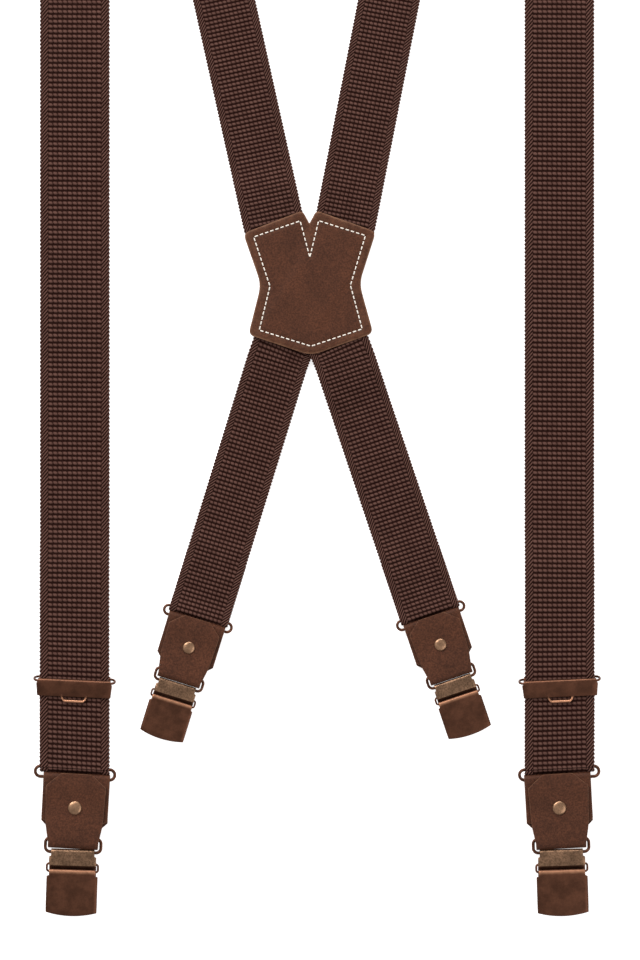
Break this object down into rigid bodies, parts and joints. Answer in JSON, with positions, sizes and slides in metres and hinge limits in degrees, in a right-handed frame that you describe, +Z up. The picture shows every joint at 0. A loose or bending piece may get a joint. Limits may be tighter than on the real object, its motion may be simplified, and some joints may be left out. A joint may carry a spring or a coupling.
{
  "type": "suspenders",
  "caption": "X-back suspenders: elastic webbing, leather crossing patch, adjusters and metal clips on leather tabs.",
  "frame": {"origin": "centre of the footprint on the table the pair lies on", "axes": "+Y from the front clips to the shoulders, +Z up out of the outer faces, +X to the right"},
  "size_m": [0.2836, 0.5728, 0.0076],
  "materials": {
    "webbing": "woven",
    "leather": "matte",
    "thread": "matte",
    "dark_metal": "antique bronze",
    "light_metal": "antique brass",
    "grip": "matte"
  },
  "bodies": {
    "back": {"left_shoulder_webbing": "webbing", "right_shoulder_webbing": "webbing", "patch_inner": "leather", "patch_outer": "leather", "patch_thread": "thread"},
    "left_front_strap": {"left_front_webbing": "webbing"},
    "left_front_loop": {"left_front_return_webbing": "webbing"},
    "left_front_adjuster": {"left_front_adjuster_back": "dark_metal", "left_front_adjuster_ring": "dark_metal"},
    "left_front_adjuster_lever": {"left_front_adjuster_lever": "dark_metal"},
    "left_back_leg": {"left_back_webbing": "webbing"},
    "left_front_strap_ring": {"left_front_strap_ring": "dark_metal"},
    "left_front_tab": {"left_front_tab": "leather", "left_front_rivet": "light_metal"},
    "left_front_clip_ring": {"left_front_clip_ring": "dark_metal"},
    "left_front_jaw": {"left_front_jaw": "dark_metal", "left_front_jaw_pad": "grip"},
    "left_front_bail": {"left_front_bail": "dark_metal"},
    "left_front_lever": {"left_front_lever": "dark_metal"},
    "left_back_strap_ring": {"left_back_strap_ring": "dark_metal"},
    "left_back_tab": {"left_back_tab": "leather", "left_back_rivet": "light_metal"},
    "left_back_clip_ring": {"left_back_clip_ring": "dark_metal"},
    "left_back_jaw": {"left_back_jaw": "dark_metal", "left_back_jaw_pad": "grip"},
    "left_back_bail": {"left_back_bail": "dark_metal"},
    "left_back_lever": {"left_back_lever": "dark_metal"},
    "right_front_strap": {"right_front_webbing": "webbing"},
    "right_front_loop": {"right_front_return_webbing": "webbing"},
    "right_front_adjuster": {"right_front_adjuster_back": "dark_metal", "right_front_adjuster_ring": "dark_metal"},
    "right_front_adjuster_lever": {"right_front_adjuster_lever": "dark_metal"},
    "right_back_leg": {"right_back_webbing": "webbing"},
    "right_front_strap_ring": {"right_front_strap_ring": "dark_metal"},
    "right_front_tab": {"right_front_tab": "leather", "right_front_rivet": "light_metal"},
    "right_front_clip_ring": {"right_front_clip_ring": "dark_metal"},
    "right_front_jaw": {"right_front_jaw": "dark_metal", "right_front_jaw_pad": "grip"},
    "right_front_bail": {"right_front_bail": "dark_metal"},
    "right_front_lever": {"right_front_lever": "dark_metal"},
    "right_back_strap_ring": {"right_back_strap_ring": "dark_metal"},
    "right_back_tab": {"right_back_tab": "leather", "right_back_rivet": "light_metal"},
    "right_back_clip_ring": {"right_back_clip_ring": "dark_metal"},
    "right_back_jaw": {"right_back_jaw": "dark_metal", "right_back_jaw_pad": "grip"},
    "right_back_bail": {"right_back_bail": "dark_metal"},
    "right_back_lever": {"right_back_lever": "dark_metal"}
  },
  "joints": [
    {"name": "left_front_lift", "type": "hinge", "parent": "back", "child": "left_front_strap", "pos_m": [-0.1212, 0.21758, 0.0014], "axis": [-1, 0, 0], "range_deg": [0, 90]},
    {"name": "left_front_clip_raise", "type": "slide", "parent": "left_front_strap", "child": "left_front_loop", "axis": [0, 1, 0], "range_m": [0, 0.04], "deforming": ["left_front_webbing", "left_front_return_webbing"]},
    {"name": "left_front_adjuster_slide", "type": "slide", "parent": "left_front_loop", "child": "left_front_adjuster", "axis": [0, 1, 0], "range_m": [0, 0.04], "deforming": ["left_front_webbing", "left_front_return_webbing"]},
    {"name": "left_front_adjuster_flip", "type": "hinge", "parent": "left_front_adjuster", "child": "left_front_adjuster_lever", "pos_m": [-0.1212, -0.16932, 0.00625], "axis": [-0.999, 0.0454, 0], "range_deg": [0, 75]},
    {"name": "left_back_lift", "type": "hinge", "parent": "back", "child": "left_back_leg", "pos_m": [-0.01997, -0.00963, 0.00273], "axis": [-0.9553, 0.2957, 0], "range_deg": [0, 60]},
    {"name": "left_front_strap_ring_swing", "type": "hinge", "parent": "left_front_loop", "child": "left_front_strap_ring", "pos_m": [-0.12085, -0.21232, 0.0028], "axis": [-0.9984, 0.0558, 0], "range_deg": [0, 80]},
    {"name": "left_front_tab_swing", "type": "hinge", "parent": "left_front_strap_ring", "child": "left_front_tab", "pos_m": [-0.12014, -0.21757, 0.0028], "axis": [-0.9984, 0.0558, 0], "range_deg": [0, 14]},
    {"name": "left_front_clip_ring_swing", "type": "hinge", "parent": "left_front_tab", "child": "left_front_clip_ring", "pos_m": [-0.12182, -0.24757, 0.0032], "axis": [-0.9995, 0.0314, 0], "range_deg": [0, 35]},
    {"name": "left_front_jaw_swing", "type": "hinge", "parent": "left_front_clip_ring", "child": "left_front_jaw", "pos_m": [-0.12204, -0.25447, 0.0032], "axis": [-0.9995, 0.0314, 0], "range_deg": [0, 35]},
    {"name": "left_front_bail_swing", "type": "hinge", "parent": "left_front_jaw", "child": "left_front_bail", "pos_m": [-0.12222, -0.26027, 0.0034], "axis": [-0.9995, 0.0314, 0], "range_deg": [0, 20]},
    {"name": "left_front_lever_flip", "type": "hinge", "parent": "left_front_bail", "child": "left_front_lever", "pos_m": [-0.12234, -0.26417, 0.0034], "axis": [-0.9995, 0.0314, 0], "range_deg": [0, 100]},
    {"name": "left_back_strap_ring_swing", "type": "hinge", "parent": "left_back_leg", "child": "left_back_strap_ring", "pos_m": [-0.05894, -0.13551, 0.00246], "axis": [-0.9553, 0.2957, 0], "range_deg": [0, 80]},
    {"name": "left_back_tab_swing", "type": "hinge", "parent": "left_back_strap_ring", "child": "left_back_tab", "pos_m": [-0.06029, -0.13989, 0.00246], "axis": [-0.9553, 0.2957, 0], "range_deg": [0, 14]},
    {"name": "left_back_clip_ring_swing", "type": "hinge", "parent": "left_back_tab", "child": "left_back_clip_ring", "pos_m": [-0.06811, -0.16515, 0.00282], "axis": [-0.9553, 0.2957, 0], "range_deg": [0, 35]},
    {"name": "left_back_jaw_swing", "type": "hinge", "parent": "left_back_clip_ring", "child": "left_back_jaw", "pos_m": [-0.06991, -0.17095, 0.00282], "axis": [-0.9553, 0.2957, 0], "range_deg": [0, 35]},
    {"name": "left_back_bail_swing", "type": "hinge", "parent": "left_back_jaw", "child": "left_back_bail", "pos_m": [-0.07142, -0.17582, 0.00299], "axis": [-0.9553, 0.2957, 0], "range_deg": [0, 20]},
    {"name": "left_back_lever_flip", "type": "hinge", "parent": "left_back_bail", "child": "left_back_lever", "pos_m": [-0.07243, -0.1791, 0.00299], "axis": [-0.9553, 0.2957, 0], "range_deg": [0, 100]},
    {"name": "right_front_lift", "type": "hinge", "parent": "back", "child": "right_front_strap", "pos_m": [0.1212, 0.21758, 0.0014], "axis": [-1, 0, 0], "range_deg": [0, 90]},
    {"name": "right_front_clip_raise", "type": "slide", "parent": "right_front_strap", "child": "right_front_loop", "axis": [0, 1, 0], "range_m": [0, 0.04], "deforming": ["right_front_webbing", "right_front_return_webbing"]},
    {"name": "right_front_adjuster_slide", "type": "slide", "parent": "right_front_loop", "child": "right_front_adjuster", "axis": [0, 1, 0], "range_m": [0, 0.04], "deforming": ["right_front_webbing", "right_front_return_webbing"]},
    {"name": "right_front_adjuster_flip", "type": "hinge", "parent": "right_front_adjuster", "child": "right_front_adjuster_lever", "pos_m": [0.1212, -0.16932, 0.00625], "axis": [-0.999, -0.0454, 0], "range_deg": [0, 75]},
    {"name": "right_back_lift", "type": "hinge", "parent": "back", "child": "right_back_leg", "pos_m": [0.01403, -0.00921, 0.00426], "axis": [-0.9478, -0.319, 0], "range_deg": [0, 60]},
    {"name": "right_front_strap_ring_swing", "type": "hinge", "parent": "right_front_loop", "child": "right_front_strap_ring", "pos_m": [0.12085, -0.21232, 0.0028], "axis": [-0.9984, -0.0558, 0], "range_deg": [0, 80]},
    {"name": "right_front_tab_swing", "type": "hinge", "parent": "right_front_strap_ring", "child": "right_front_tab", "pos_m": [0.12014, -0.21757, 0.0028], "axis": [-0.9984, -0.0558, 0], "range_deg": [0, 14]},
    {"name": "right_front_clip_ring_swing", "type": "hinge", "parent": "right_front_tab", "child": "right_front_clip_ring", "pos_m": [0.12182, -0.24757, 0.0032], "axis": [-0.9995, -0.0314, 0], "range_deg": [0, 35]},
    {"name": "right_front_jaw_swing", "type": "hinge", "parent": "right_front_clip_ring", "child": "right_front_jaw", "pos_m": [0.12204, -0.25447, 0.0032], "axis": [-0.9995, -0.0314, 0], "range_deg": [0, 35]},
    {"name": "right_front_bail_swing", "type": "hinge", "parent": "right_front_jaw", "child": "right_front_bail", "pos_m": [0.12222, -0.26027, 0.0034], "axis": [-0.9995, -0.0314, 0], "range_deg": [0, 20]},
    {"name": "right_front_lever_flip", "type": "hinge", "parent": "right_front_bail", "child": "right_front_lever", "pos_m": [0.12234, -0.26417, 0.0034], "axis": [-0.9995, -0.0314, 0], "range_deg": [0, 100]},
    {"name": "right_back_strap_ring_swing", "type": "hinge", "parent": "right_back_leg", "child": "right_back_strap_ring", "pos_m": [0.05606, -0.13411, 0.00246], "axis": [-0.9478, -0.319, 0], "range_deg": [0, 80]},
    {"name": "right_back_tab_swing", "type": "hinge", "parent": "right_back_strap_ring", "child": "right_back_tab", "pos_m": [0.05752, -0.13845, 0.00246], "axis": [-0.9478, -0.319, 0], "range_deg": [0, 14]},
    {"name": "right_back_clip_ring_swing", "type": "hinge", "parent": "right_back_tab", "child": "right_back_clip_ring", "pos_m": [0.06595, -0.16351, 0.00282], "axis": [-0.9478, -0.319, 0], "range_deg": [0, 35]},
    {"name": "right_back_jaw_swing", "type": "hinge", "parent": "right_back_clip_ring", "child": "right_back_jaw", "pos_m": [0.06789, -0.16926, 0.00282], "axis": [-0.9478, -0.319, 0], "range_deg": [0, 35]},
    {"name": "right_back_bail_swing", "type": "hinge", "parent": "right_back_jaw", "child": "right_back_bail", "pos_m": [0.06952, -0.1741, 0.00299], "axis": [-0.9478, -0.319, 0], "range_deg": [0, 20]},
    {"name": "right_back_lever_flip", "type": "hinge", "parent": "right_back_bail", "child": "right_back_lever", "pos_m": [0.07061, -0.17735, 0.00299], "axis": [-0.9478, -0.319, 0], "range_deg": [0, 100]}
  ],
  "couplings": [
    {"joint": "left_front_clip_raise", "follows": "left_front_adjuster_slide", "ratio": 1},
    {"joint": "left_front_bail_swing", "follows": "left_front_lever_flip", "ratio": 0.2},
    {"joint": "left_back_bail_swing", "follows": "left_back_lever_flip", "ratio": 0.2},
    {"joint": "right_front_clip_raise", "follows": "right_front_adjuster_slide", "ratio": 1},
    {"joint": "right_front_bail_swing", "follows": "right_front_lever_flip", "ratio": 0.2},
    {"joint": "right_back_bail_swing", "follows": "right_back_lever_flip", "ratio": 0.2}
  ]
}
